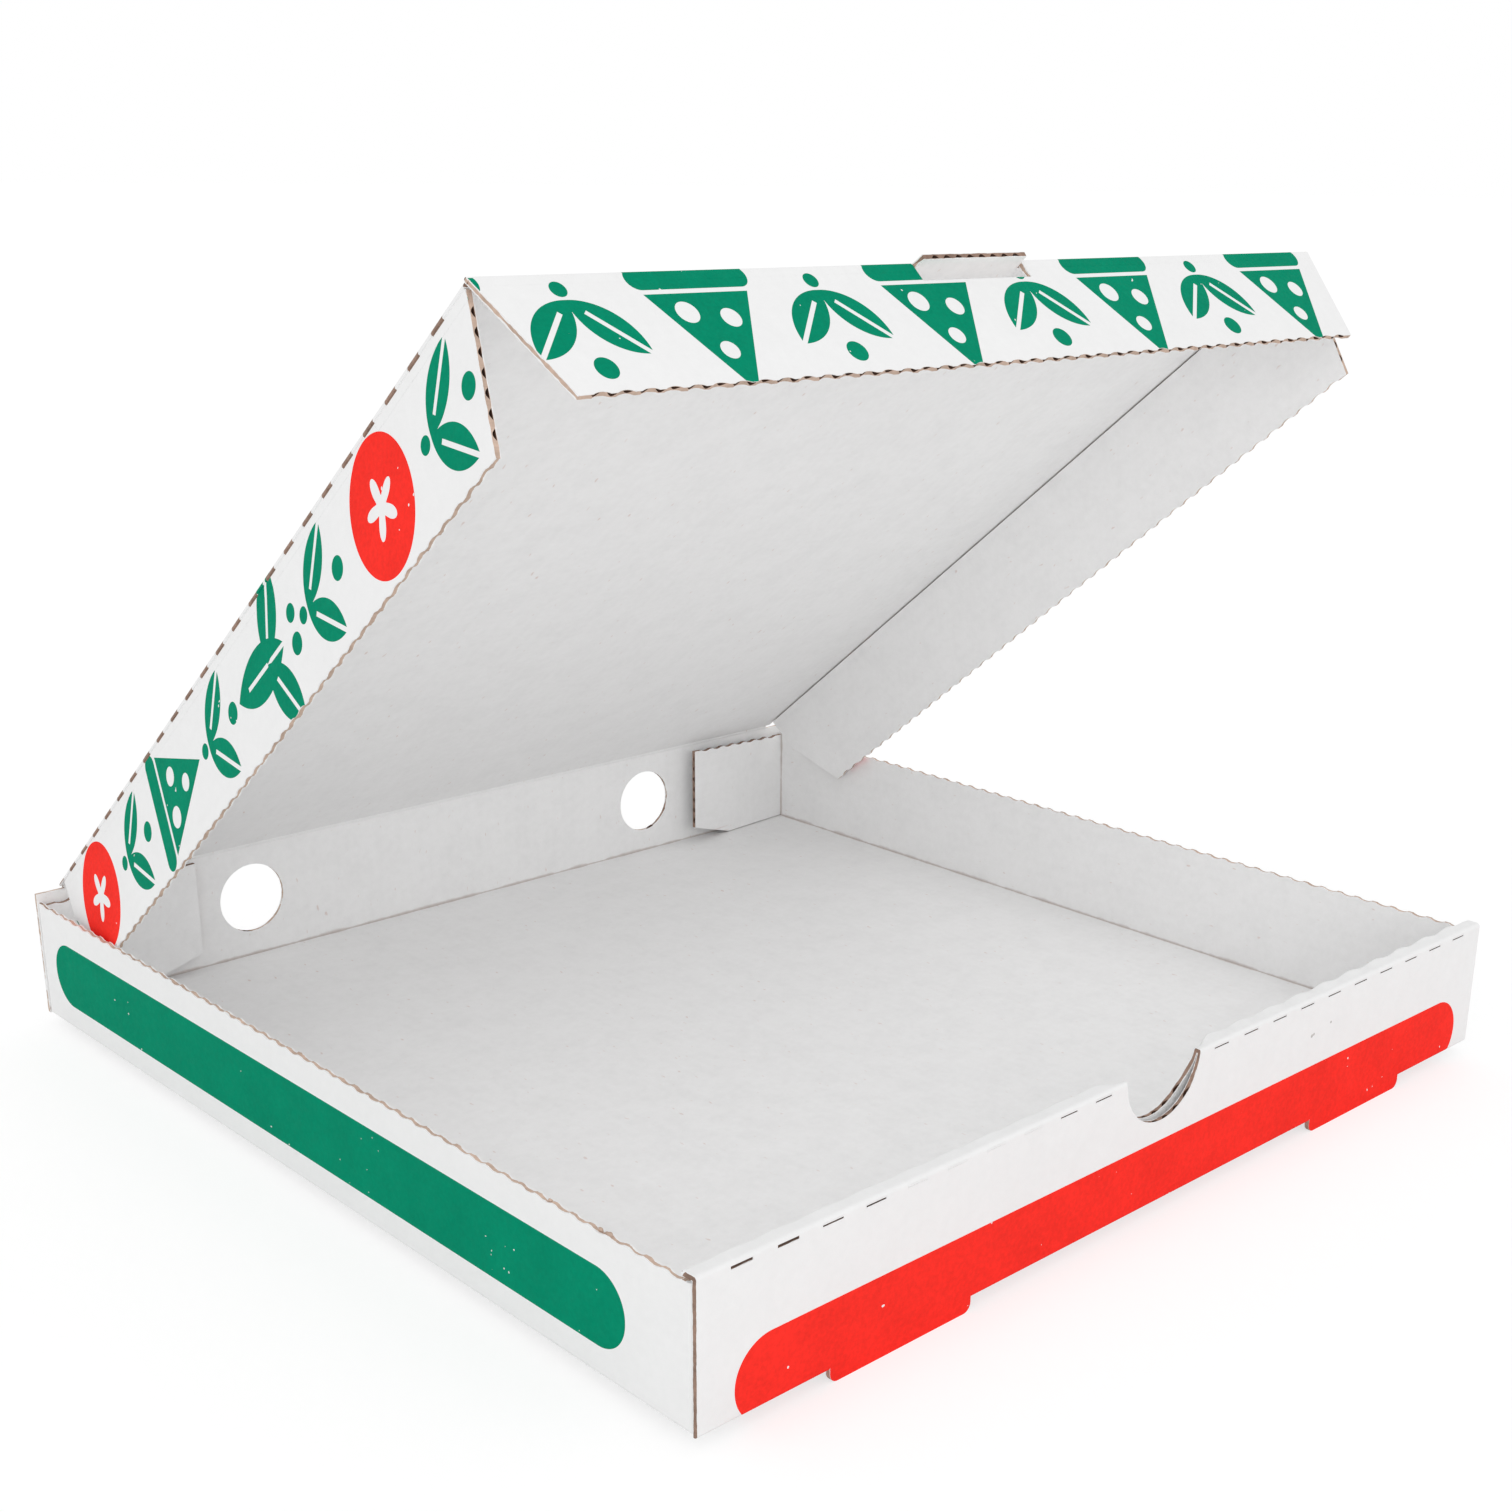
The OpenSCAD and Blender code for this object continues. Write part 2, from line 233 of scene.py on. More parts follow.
class StageSettings(bpy.types.PropertyGroup):
    """Floor, light and camera."""

    floor: colour("Floor", "Colour of the floor", (0.9, 0.9, 0.9))
    floor_seen: colour("Floor seen", "Part of the floor that the camera sees as lit", (0.34,) * 3)
    floor_glow: number("Floor glow", "What the camera sees added to the floor", 0.69)
    ambient: number("Ambient", "Strength of the light from all round", 0.95)
    key_power: power("Key light", "Power of the light from the front left", 3)
    fill_power: power("Fill light", "Power of the light from the front", 1)
    camera_at: FloatVectorProperty(
        name="Camera place", description="Where the camera stands", subtype="TRANSLATION",
        size=3, default=(-0.41562, -0.45898, 0.26501), unit="LENGTH")
    yaw: angle("Yaw", "Turn of the view to the right", 43.61)
    pitch: angle("Pitch", "Tilt of the view downwards", 19.64)
    roll: angle("Roll", "Roll of the view", -0.67)
    focal: number("Focal length", "In widths of the picture", 2041.3 / 1512)
    middle_across: number("Middle across", "Optical middle, in widths", 800 / 1512)
    middle_down: number("Middle down", "Optical middle, in heights", 900.4 / 1512)


def board_thickness():
    return bpy.context.scene.pizza_board.thickness


def roll_width():
    """Depth of the double front wall: three boards and two gaps."""
    return 3 * board_thickness() + 2 * PANEL_GAP


# Shader nodes

class Graph:
    """Short way to write a node tree."""

    def __init__(self, tree):
        self.tree = tree

    def node(self, kind, **settings):
        made = self.tree.nodes.new(kind)
        for key, value in settings.items():
            setattr(made, key, value)
        return made

    def put(self, socket, value):
        if isinstance(value, bpy.types.NodeSocket):
            self.tree.links.new(value, socket)
        elif value is not None:
            socket.default_value = value

    def math(self, operation, a, b=None, c=None):
        made = self.node("ShaderNodeMath", operation=operation)
        for socket, value in zip(made.inputs, (a, b, c)):
            self.put(socket, value)
        return made.outputs[0]

    def vector(self, operation, a, b=None, scale=None):
        made = self.node("ShaderNodeVectorMath", operation=operation)
        self.put(made.inputs[0], a)
        self.put(made.inputs[1], b)
        if scale is not None:
            self.put(made.inputs["Scale"], scale)
        return made.outputs["Value" if operation in ("LENGTH", "DISTANCE") else "Vector"]

    def mix(self, factor, a, b):
        made = self.node("ShaderNodeMix", data_type="RGBA")
        for key, value in (("Factor", factor), ("A", a), ("B", b)):
            self.put(made.inputs[key], value)
        return made.outputs["Result"]

    def noise(self, vector, scale, detail=2.0, roughness=0.5):
        made = self.node("ShaderNodeTexNoise")
        for key, value in (("Vector", vector), ("Scale", scale), ("Detail", detail),
                           ("Roughness", roughness)):
            self.put(made.inputs[key], value)
        return made.outputs["Fac"]

    def fit(self, value, low, high, to_low=0.0, to_high=1.0):
        made = self.node("ShaderNodeMapRange")
        for key, number in zip(("Value", "From Min", "From Max", "To Min", "To Max"),
                               (value, low, high, to_low, to_high)):
            self.put(made.inputs[key], number)
        return made.outputs["Result"]

    def spread(self, noise, low, high):
        """Stretches the usual range of a noise to a range of values."""
        return self.fit(noise, 0.3, 0.7, low, high)

    def split(self, vector):
        made = self.node("ShaderNodeSeparateXYZ")
        self.put(made.inputs[0], vector)
        return made.outputs

    def join(self, x, y, z=0.0):
        made = self.node("ShaderNodeCombineXYZ")
        for socket, value in zip(made.inputs, (x, y, z)):
            self.put(socket, value)
        return made.outputs[0]

    def disc(self, x, y, at, radius):
        """1 inside a circle."""
        away = self.vector("DISTANCE", self.join(x, y), (at[0], at[1], 0))
        return self.math("LESS_THAN", away, radius)

    def both(self, *masks):
        return functools.reduce(lambda a, b: self.math("MULTIPLY", a, b), masks)

    def either(self, *masks):
        return functools.reduce(lambda a, b: self.math("MAXIMUM", a, b), masks)

    def without(self, mask, *holes):
        return self.both(mask, *(self.math("SUBTRACT", 1.0, hole) for hole in holes))


def node_group(name, inputs, outputs):
    """Empty shader group; sockets are named in words, with v, c or f for what they carry."""
    kinds = {"v": "NodeSocketVector", "c": "NodeSocketColor", "f": "NodeSocketFloat"}
    tree = bpy.data.node_groups.new(name, "ShaderNodeTree")
    for in_out, sockets in (("INPUT", inputs), ("OUTPUT", outputs)):
        for label, kind in sockets.items():
            tree.interface.new_socket(label, in_out=in_out, socket_type=kinds[kind])
    graph = Graph(tree)
    return graph, graph.node("NodeGroupInput").outputs, graph.node("NodeGroupOutput").inputs


def new_material(name):
    """Empty material: its graph and the inputs of its shader."""
    material = bpy.data.materials.new(name)
    material.use_nodes = True
    return Graph(material.node_tree), material.node_tree.nodes["Principled BSDF"].inputs


def place_group(graph, name, **values):
    made = graph.node("ShaderNodeGroup", node_tree=bpy.data.node_groups[name])
    for key, value in values.items():
        graph.put(made.inputs[key.replace("_", " ")], value)
    return made.outputs


def make_paper_group():
    """Mottled paper: clouds, fibres, and the flutes below as faint bumps and faint painted shade.
    """
    g, given, out = node_group(
        "Paper", {"Place": "v", "Blank": "v", "Colour": "c", "Fleck": "c", "Mottle": "f",
                  "Flecks": "f", "Flute Pitch": "f"},
        {"Colour": "c", "Roughness": "f", "Height": "f"})
    clouds = g.noise(given["Place"], 90.0, 3.0)
    blots = g.noise(given["Place"], 420.0, 4.0, 0.6)
    fibres = g.noise(g.vector("MULTIPLY", given["Blank"], (1.0, 0.35, 1.0)), 2600.0, 2.0)
    strands = g.noise(g.vector("MULTIPLY", given["Blank"], (1.0, 0.4, 1.0)), 640.0, 1.0)
    across = g.split(given["Blank"])["X"]
    turn = g.math("DIVIDE", g.math("MULTIPLY", across, 2 * math.pi), given["Flute Pitch"])
    ridges = g.math("SINE", turn)
    tone = g.math("ADD", g.spread(clouds, -0.5, 0.5), g.spread(blots, -0.6, 0.6))
    tone = g.math("ADD", tone, g.spread(fibres, -0.3, 0.3))
    # The flute ridges also shade the colour a little: painted shade
    tone = g.math("ADD", tone, g.math("MULTIPLY", ridges, 0.10))
    shade = g.math("MULTIPLY_ADD", tone, given["Mottle"], 1.0)
    specks = g.math("MULTIPLY", g.fit(strands, 0.72, 0.80, 0.0, 0.38), given["Flecks"])
    paper = g.vector("SCALE", given["Colour"], scale=shade)
    g.put(out["Colour"], g.mix(specks, paper, given["Fleck"]))
    g.put(out["Roughness"], g.spread(blots, 0.62, 0.78))
    g.put(out["Height"], g.math("ADD", g.math("MULTIPLY", fibres, 0.35),
                                g.math("MULTIPLY", ridges, 0.12)))


def make_ink_group():
    """Ink on board: specks where it missed, and a slightly uneven tone."""
    g, given, out = node_group("Ink", {"Place": "v", "Colour": "c"}, {"Colour": "c", "Cover": "f"})
    grain = g.noise(given["Place"], 900.0, 3.0, 0.6)
    drift = g.noise(given["Place"], 60.0, 2.0)
    specks = g.noise(given["Place"], 520.0, 1.0)
    where = g.fit(drift, 0.5, 0.7, 0.0, 0.05)
    g.put(out["Cover"], g.math("LESS_THAN", g.math("ADD", specks, where), 0.80))
    tone = g.math("ADD", g.spread(grain, 0.93, 1.07), g.spread(drift, -0.05, 0.05))
    g.put(out["Colour"], g.vector("SCALE", given["Colour"], scale=tone))


def leaf(g, x, y, at, turn, half_len, half_w):
    """Pointed oval with a bare midrib; the leaf points along its own y."""
    cos, sin = math.cos(turn), math.sin(turn)
    dx, dy = g.math("SUBTRACT", x, at[0]), g.math("SUBTRACT", y, at[1])
    across = g.math("ADD", g.math("MULTIPLY", dx, cos), g.math("MULTIPLY", dy, sin))
    along = g.math("SUBTRACT", g.math("MULTIPLY", dy, cos), g.math("MULTIPLY", dx, sin))
    radius = (half_len ** 2 + half_w ** 2) / (2 * half_w)
    off = radius - half_w
    body = g.both(*(g.disc(across, along, (side, 0), radius) for side in (off, -off)))
    rib = g.both(g.math("LESS_THAN", g.math("ABSOLUTE", across), RIB_HALF),
                 g.math("GREATER_THAN", along, RIB_FROM * half_len))
    return g.without(body, rib)


def make_motif_group():
    """Scattered slices, sprigs and tomatoes in columns that are shifted by half a step."""
    g, given, out = node_group(
        "Motifs", {"Blank": "v", "Across": "f", "Along": "f", "Size": "f"},
        {"Green": "f", "Red": "f"})
    place = g.split(given["Blank"])
    u = g.math("SUBTRACT", place["X"], -LID_HALF_W - 18 * MM)
    v = g.math("SUBTRACT", place["Y"], LID_LEN + 16.5 * MM)
    column = g.math("ROUND", g.math("DIVIDE", u, given["Across"]))
    odd = g.math("FLOORED_MODULO", column, 2.0)
    half_step = g.math("MULTIPLY", given["Along"], 0.5)
    v = g.math("SUBTRACT", v, g.math("MULTIPLY", odd, half_step))
    row = g.math("ROUND", g.math("DIVIDE", v, given["Along"]))
    kind = g.math("FLOORED_MODULO", row, 3.0)
    unit = g.math("DIVIDE", MOTIF_UNITS, given["Size"])
    x, y = (g.math("MULTIPLY", g.math("SUBTRACT", at, g.math("MULTIPLY", number, step)), unit)
            for at, number, step in ((u, column, given["Across"]), (v, row, given["Along"])))

    def drawing(leaves, buds, y):
        return g.either(*(leaf(g, x, y, *shape) for shape in leaves),
                        *(g.disc(x, y, *shape) for shape in buds))

    side = g.math("ABSOLUTE", x)
    edge = g.math("MULTIPLY", g.math("SUBTRACT", WEDGE_TIP, y), WEDGE_SLOPE)
    wedge = g.both(g.math("GREATER_THAN", y, WEDGE_BASE), g.math("LESS_THAN", side, edge))
    bar = g.both(g.math("LESS_THAN", g.math("ABSOLUTE", g.math("ADD", y, CRUST_DOWN)), CRUST_R),
                 g.math("LESS_THAN", side, CRUST_HALF))
    crust = g.either(bar, *(g.disc(x, y, (end, -CRUST_DOWN), CRUST_R)
                            for end in (-CRUST_HALF, CRUST_HALF)))
    slices = g.either(g.without(wedge, *(g.disc(x, y, *shape) for shape in TOPPINGS)), crust)

    away = g.vector("LENGTH", g.join(x, g.math("MULTIPLY", y, TOMATO_FLAT)))
    turn = g.math("MULTIPLY_ADD", g.math("ARCTAN2", y, x), 5.0, STAR_TURN)
    star = g.math("MULTIPLY_ADD", g.math("COSINE", turn), STAR_WAVE, STAR_R)
    tomato = g.without(g.math("LESS_THAN", away, TOMATO_R), g.math("LESS_THAN", away, star))

    half = g.math("MULTIPLY", half_step, unit)
    between = g.math("SUBTRACT", g.math("FLOORED_MODULO", y, g.math("MULTIPLY", half, 2.0)), half)
    is_kind = [g.math("COMPARE", kind, number, 0.5) for number in (0.0, 1.0, 2.0)]
    g.put(out["Green"], g.either(
        g.both(slices, is_kind[0]), g.both(drawing(SPRIG_LEAVES, SPRIG_BUDS, y), is_kind[1]),
        drawing(PAIR_LEAVES, PAIR_BUDS, between)))
    g.put(out["Red"], g.both(tomato, is_kind[2]))


def make_band_group():
    """Long field with rounded ends on the flat sheet."""
    g, given, out = node_group(
        "Band", {"Blank": "v", "Middle": "v", "Half": "v", "Radius": "f"}, {"Mask": "f"})
    away = g.vector("ABSOLUTE", g.vector("SUBTRACT", given["Blank"], given["Middle"]))
    inner = g.vector("SUBTRACT", given["Half"], g.join(given["Radius"], given["Radius"]))
    past = g.split(g.vector("MAXIMUM", g.vector("SUBTRACT", away, inner), (0, 0, 0)))
    reach = g.vector("LENGTH", g.join(past["X"], past["Y"]))
    g.put(out["Mask"], g.math("LESS_THAN", reach, given["Radius"]))


def make_margin_group():
    """Liners on both sides of a cut edge, from the edge map: their width and the place across."""
    g, given, out = node_group("Margins", {"Place": "v", "Edge": "v"}, {"Mask": "f"})
    edge = g.split(given["Edge"])
    away = g.math("MULTIPLY", g.math("ABSOLUTE", g.math("SUBTRACT", edge["Y"], 0.5)), 2.0)
    wander = g.spread(g.noise(given["Place"], 330.0, 2.0), 0.3, 1.7)
    liners = g.math("MULTIPLY", g.math("MULTIPLY", edge["X"], 2.0), wander)
    g.put(out["Mask"], g.math("GREATER_THAN", away, g.math("SUBTRACT", 1.0, liners)))


def make_fold_shade_group():
    """Painted shade: soft darker lines along the inside corners of the tray's folds."""
    g, given, out = node_group(
        "Fold shade lines", {"Place": "v", "Board": "f", "Width": "f"}, {"Mask": "f"})
    place = g.split(given["Place"])
    wander = g.spread(g.noise(given["Place"], 150.0, 2.0), 0.35, 1.25)
    width = g.math("MULTIPLY", given["Width"], wander)

    def near(value, at):
        away = g.math("ABSOLUTE", g.math("SUBTRACT", value, at))
        return g.fit(away, 0.0, width, 1.0, 0.0)

    side = near(g.math("ABSOLUTE", place["X"]), g.math("SUBTRACT", HALF_W, given["Board"]))
    back = near(place["Y"], g.math("SUBTRACT", HALF_D, given["Board"]))
    tuck = near(place["Y"], g.math("SUBTRACT", HALF_D - REAR_FOLD, given["Board"]))
    low = near(place["Z"], given["Board"])
    g.put(out["Mask"], g.either(g.both(side, low), g.both(back, low), g.both(side, tuck)))


def paper_material(name, tint, mottle, printing=None, bump=0.12, flecks=0.0, margins=False,
                   folds=False):
    """Paper finish; printing(graph, blank) may give pairs of a mask and an ink colour."""
    board = bpy.context.scene.pizza_board
    g, shader = new_material(name)
    place = g.node("ShaderNodeTexCoord").outputs["Object"]
    blank = g.node("ShaderNodeUVMap", uv_map="blank").outputs["UV"]
    paper = place_group(g, "Paper", Place=place, Blank=blank, Colour=(*tint, 1),
                        Fleck=(*board.fleck, 1), Mottle=mottle, Flecks=flecks,
                        Flute_Pitch=board.flute_pitch)
    shade = paper["Colour"]
    if margins:
        edge = g.node("ShaderNodeUVMap", uv_map="edge").outputs["UV"]
        liners = place_group(g, "Margins", Place=place, Edge=edge)
        shade = g.mix(liners["Mask"], shade, (*board.outside, 1))
    # Painted shade in the inside corners of the tray's folds
    if folds:
        lines = place_group(g, "Fold shade lines", Place=place, Board=board.thickness,
                            Width=board.fold_width)
        shade = g.mix(lines["Mask"], shade, (*board.fold_shade_colour, 1))
    for mask, ink_colour in printing(g, blank) if printing else ():
        ink = place_group(g, "Ink", Place=place, Colour=(*ink_colour, 1))
        shade = g.mix(g.both(mask, ink["Cover"]), shade, ink["Colour"])
    lift = g.node("ShaderNodeBump")
    g.put(lift.inputs["Strength"], bump)
    g.put(lift.inputs["Distance"], 0.1 * MM)
    g.put(lift.inputs["Height"], paper["Height"])
    g.put(shader["Base Color"], shade)
    g.put(shader["Roughness"], paper["Roughness"])
    g.put(shader["Normal"], lift.outputs["Normal"])
    g.put(shader["Specular IOR Level"], 0.03)


def lid_print(g, blank):
    settings = bpy.context.scene.pizza_print
    masks = place_group(g, "Motifs", Blank=blank, Across=settings.repeat_across,
                        Along=settings.repeat_along, Size=settings.motif_size)
    return [(masks["Green"], settings.green), (masks["Red"], settings.red)]


def tray_print(g, blank):
    """A red field along the front and a green one along each side."""
    settings = bpy.context.scene.pizza_print
    front = place_group(g, "Band", Blank=blank, Middle=(1 * MM, -HALF_D - 7.5 * MM, 0),
                        Half=(155 * MM, 11.5 * MM, 1), Radius=11.4 * MM)
    sides = [place_group(g, "Band", Blank=blank, Middle=(sign * (HALF_W + 18.5 * MM), 7 * MM, 0),
                         Half=(10.5 * MM, 147 * MM, 1), Radius=10.4 * MM) for sign in (-1, 1)]
    place = g.split(blank)
    marks = [g.disc(place["X"], place["Y"], (x * MM, -HALF_D - z * MM), radius * MM)
             for x, z, radius in MARKS]
    return [(front["Mask"], settings.red),
            (g.either(*(side["Mask"] for side in sides)), settings.green),
            (g.either(*marks), settings.mark)]


def board_materials(outside, inside):
    """The five finishes of a panel, in the order of their face numbers."""
    board = bpy.context.scene.pizza_board
    if "Paper" not in bpy.data.node_groups:
        for make in (make_paper_group, make_ink_group, make_motif_group, make_band_group,
                     make_margin_group, make_fold_shade_group):
            make()
        paper_material("printed_liner", board.outside, 0.018, lid_print)
        paper_material("banded_liner", board.outside, 0.018, tray_print)
        paper_material("inside_liner", board.inside, 0.035, flecks=1.0)
        # Painted shade: fold lines on the creased liner, near-black open flutes, darker slit walls
        paper_material("fold_shaded_liner", board.inside, 0.035, flecks=1.0, folds=True)
        paper_material("cut_edge", board.cut_edge, 0.22, bump=0.5, margins=True)
        paper_material("open_flute_shade", board.flute, 0.25, bump=0.5)
        paper_material("slit_wall_and_shade", board.slit, 0.35, bump=0.5, margins=True)
    names = (outside, inside, "cut_edge", "open_flute_shade", "slit_wall_and_shade")
    return [bpy.data.materials[name] for name in names]


# Panels

def add_object(name, data):
    made = bpy.data.objects.new(name, data)
    bpy.context.scene.collection.objects.link(made)
    return made


def to_mesh(bm, name):
    """Plain mesh of a bmesh, which is freed."""
    mesh = bpy.data.meshes.new(name)
    bm.to_mesh(mesh)
    bm.free()
    return mesh


def dress(node, name, body, rules, outside, inside="inside_liner", flat=lambda normal: True,
          shape=None):
    """Copies a packed solid, sorts its faces into finishes and maps the flat sheet onto it.

    rules are three functions: finish(face, middle), blank(point, normal, middle) for the place on
    the flat sheet, and edge(point, normal, middle) for the liners' width and the place across.
    """
    finish, blank, edge_place = rules
    mesh = frame["nodes"][node].data.copy()
    mesh.name = name
    mesh.materials.clear()
    for material in board_materials(outside, inside):
        mesh.materials.append(material)
    bm = bmesh.new()
    bm.from_mesh(mesh)
    bmesh.ops.remove_doubles(bm, verts=bm.verts, dist=MERGE)
    for layer in list(bm.loops.layers.uv):
        bm.loops.layers.uv.remove(layer)
    uv = bm.loops.layers.uv.new("blank")
    edge_uv = bm.loops.layers.uv.new("edge")
    bm.normal_update()
    for face in bm.faces:
        middle = face.calc_center_median()
        face.material_index = finish(face, middle)
        for loop in face.loops:
            loop[uv].uv = blank(loop.vert.co, face.normal, middle)
            loop[edge_uv].uv = edge_place(loop.vert.co, face.normal, middle)
        face.smooth = face.material_index in (CUT, FLUTE_SHADE, RAW_AND_SHADE) or not flat(face.normal)
    if shape:
        shape(bm)
        bm.normal_update()
    for edge in bm.edges:
        edge.smooth = len(edge.link_faces) == 2 and edge.calc_face_angle() < SHARP
    bm.to_mesh(mesh)
    bm.free()
    made = add_object(name, mesh)
    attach(made, body)
    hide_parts(node)


def in_flute(face, depth, low, high, flute):
    """True for the wall of an open flute: it lies inside the board and runs along the flutes."""
    edge = FLUTE_EDGE * bpy.context.scene.pizza_board.liner
    inside = all(low + edge < depth(vert.co) < high - edge for vert in face.verts)
    return inside and abs(face.normal.dot(flute)) < ALONG


def outer_normal(node, toward):
    """Normal of a flat panel's outer face: its widest face that looks toward a direction."""
    polygons = frame["nodes"][node].data.polygons
    facing = [polygon for polygon in polygons if polygon.normal.dot(toward) > FACING]
    if not facing:
        raise RuntimeError(f"{node} has no outer face")
    return max(facing, key=lambda polygon: polygon.area).normal.normalized()


def flap_axes(node, toward, crease):
    """Outer normal of a lid flap, and the way down it from its crease."""
    normal = outer_normal(node, toward)
    down = crease.cross(normal)
    return normal, -down if down.dot(LID_TOP) > 0 else down


def panel_rules(origin, normal, low, high, flute, blank):
    """Rules for one flat panel whose board lies between two depths along its normal."""
    def depth(point):
        return (point - origin).dot(normal)

    def finish(face, middle):
        lean, deep = face.normal.dot(normal), depth(middle)
        if lean > FLAT and abs(deep - high) < SNAP:
            return OUTSIDE
        if lean < -FLAT and abs(deep - low) < SNAP:
            return INSIDE
        # Lid edges in the side creases' slits and on the tab get the darker brown with painted
        # shade
        lid_edge = normal == LID_TOP and deep > low
        if lid_edge and abs((middle - HINGE).x) > LID_HALF_W - 1.5 * PANEL_GAP:
            return RAW_AND_SHADE
        # Open flutes get near-black painted shade
        if in_flute(face, depth, low, high, flute):
            return FLUTE_SHADE
        on_tab = lid_edge and (middle - HINGE).dot(LID_ALONG) > LID_LEN + MM
        return RAW_AND_SHADE if on_tab else CUT

    def edge(point, n, middle):
        across = abs(n.dot(flute)) > 0.5
        return ACROSS_LINERS if across else ALONG_LINERS, (depth(point) - low) / (high - low)

    return finish, blank, edge


def lid_place(point):
    """Flat-sheet place of a point of the lid."""
    return point.x, (point - HINGE).dot(LID_ALONG)


def tray_rules():
    """Rules for the tray, which is one folded sheet."""
    board = board_thickness()
    front_y, back_y = -HALF_D, HALF_D
    roll_y = front_y + roll_width()

    # Axis, direction and place of the sheet's own planes, with their finishes
    planes = ((2, -1, 0, OUTSIDE), (2, 1, board, INSIDE),
              (2, 1, FRONT_H, OUTSIDE), (2, -1, FRONT_H - board, INSIDE),
              (1, -1, front_y, OUTSIDE), (1, 1, front_y + board, INSIDE),
              (1, 1, roll_y, OUTSIDE), (1, -1, roll_y - board, INSIDE),
              (1, 1, back_y, OUTSIDE), (1, -1, back_y - board, INSIDE))

    def flat_face(n, m):
        """Finish of a face that lies on one of the sheet's own planes, or None."""
        for axis, way, place, found in planes:
            if way * n[axis] > FLAT and abs(m[axis] - place) < SNAP:
                return found
        if abs(n.x) > FLAT and abs(abs(m.x) - HALF_W) < SNAP and abs(m.y) < HALF_D - 1.1 * board:
            return RAW_AND_SHADE if m.z > FRONT_H - board and m.y < 0 else OUTSIDE
        if abs(n.x) > FLAT and abs(abs(m.x) - HALF_W + board) < SNAP and n.x * m.x < 0:
            return INSIDE
        return None

    def outer_fold(n, m):
        """True on the outside of a rounded fold."""
        parts = sorted(abs(part) for part in n)
        if parts[0] >= SKEW or parts[-1] >= FLAT:
            return False
        low = n.z < -SKEW and m.z < board
        side = abs(m.x) > HALF_W - board
        return (low and side
                or low and m.z > -0.1 * MM and abs(m.y) > HALF_D - board
                or m.z > FRONT_H - board and n.z > SKEW and m.y < 0 and abs(n.x) < SKEW
                or abs(n.z) < SKEW and side and abs(m.y) > HALF_D - 4 * board)

    def notch_finish(face, m):
        """Finish of a face in the thumb notch, or None."""
        if abs(m.x) > NOTCH_R + board or m.y > 0:
            return None
        # The notch's cut arcs get the darker raw brown finish
        if abs(math.hypot(m.x, m.z - FRONT_H) - NOTCH_R) < 2 * SNAP:
            return RAW_AND_SHADE
        # Open flutes in the wall's layers get near-black painted shade
        layers = ((front_y, front_y + board), (roll_y - board, roll_y))
        inside = any(in_flute(face, lambda p: p.y, low, high, Z_AXIS) for low, high in layers)
        return FLUTE_SHADE if inside else None

    def finish(face, m):
        n = face.normal
        found = flat_face(n, m)
        if found is not None:
            return found
        tuck = (abs(m.y) > HALF_D - TUCK_DEPTH
                and TUCK_FROM * HALF_W < abs(m.x) < HALF_W - 0.5 * board)
        if tuck and abs(n.y) > LEANING:
            return INSIDE if (n.y < 0) == (m.y > 0) else OUTSIDE
        if outer_fold(n, m):
            return OUTSIDE
        in_notch = notch_finish(face, m)
        if in_notch is not None:
            return in_notch
        on_front = m.y < front_y + board + PANEL_GAP
        # Slit walls and the front wall's cut ends get the darker brown, as painted shade in the
        # slits
        if on_front and (abs(n.x) > FLAT and m.z > 0 or abs(m.z - SLIT_Z) < SLIT_H):
            return RAW_AND_SHADE
        if not (tuck and m.y > 0):
            return CUT
        # The rear tucks' edges get the darker brown as painted shade, and their open flutes
        # near-black
        mouth = abs(n.x) < 0.3 and abs(n.z) > 0.05 and MOUTH_LOW < m.z < FRONT_H - MOUTH_TOP
        return FLUTE_SHADE if mouth else RAW_AND_SHADE

    def blank(point, n, m):
        if m.z < board + SNAP and abs(n.z) > 0.8:
            return point.x, point.y
        if front_y + board < m.y < front_y + 4 * board and m.z < FRONT_H - 0.5 * board:
            return point.x, front_y - 2 * FRONT_H - 3 * board + point.z
        in_wall = abs(m.y) > HALF_D - 4 * board and abs(m.x) < HALF_W - 0.3 * board
        on_wall = abs(m.y) > HALF_D - board and abs(n.y) > abs(n.x)
        if in_wall and abs(n.y) >= abs(n.x) or on_wall:
            return point.x, (front_y - point.z if m.y < 0 else back_y + point.z)
        return (1 if m.x > 0 else -1) * (HALF_W + point.z), point.y

    def edge(point, n, m):
        if m.y < roll_y + SNAP:
            depth = min(point.y - front_y, roll_y - point.y)
            if m.z > FRONT_H - 2 * board:
                depth = min(depth, FRONT_H - point.z)
            return FRONT_LINERS, depth / board
        if m.y > HALF_D - board - SNAP:
            ends = abs(n.x) > 0.9
            return BACK_END_LINERS if ends else BACK_LINERS, (point.y - HALF_D) / board + 1
        if abs(m.x) > HALF_W - board - SNAP:
            return SIDE_LINERS, (abs(point.x) - HALF_W) / board + 1
        return 0.0, 0.5

    return finish, blank, edge


def smooth_step(value):
    value = min(max(value, 0.0), 1.0)
    return value * value * (3 - 2 * value)


def cut_faces(bm, geom, place, axis):
    """Cuts geometry at a place along an axis and returns what it has become."""
    return bmesh.ops.bisect_plane(
        bm, geom=geom, dist=CUT_SNAP, plane_co=place * axis, plane_no=axis)["geom"]


def with_parts(faces):
    """Faces with their edges and vertices, in a fixed order."""
    edges = dict.fromkeys(edge for face in faces for edge in face.edges)
    verts = dict.fromkeys(vert for face in faces for vert in face.verts)
    return [*faces, *edges, *verts]


def smooth_verts(faces):
    """Shades faces smooth and returns their vertices, each of them once."""
    for face in faces:
        face.smooth = True
    return dict.fromkeys(vert for face in faces for vert in face.verts)


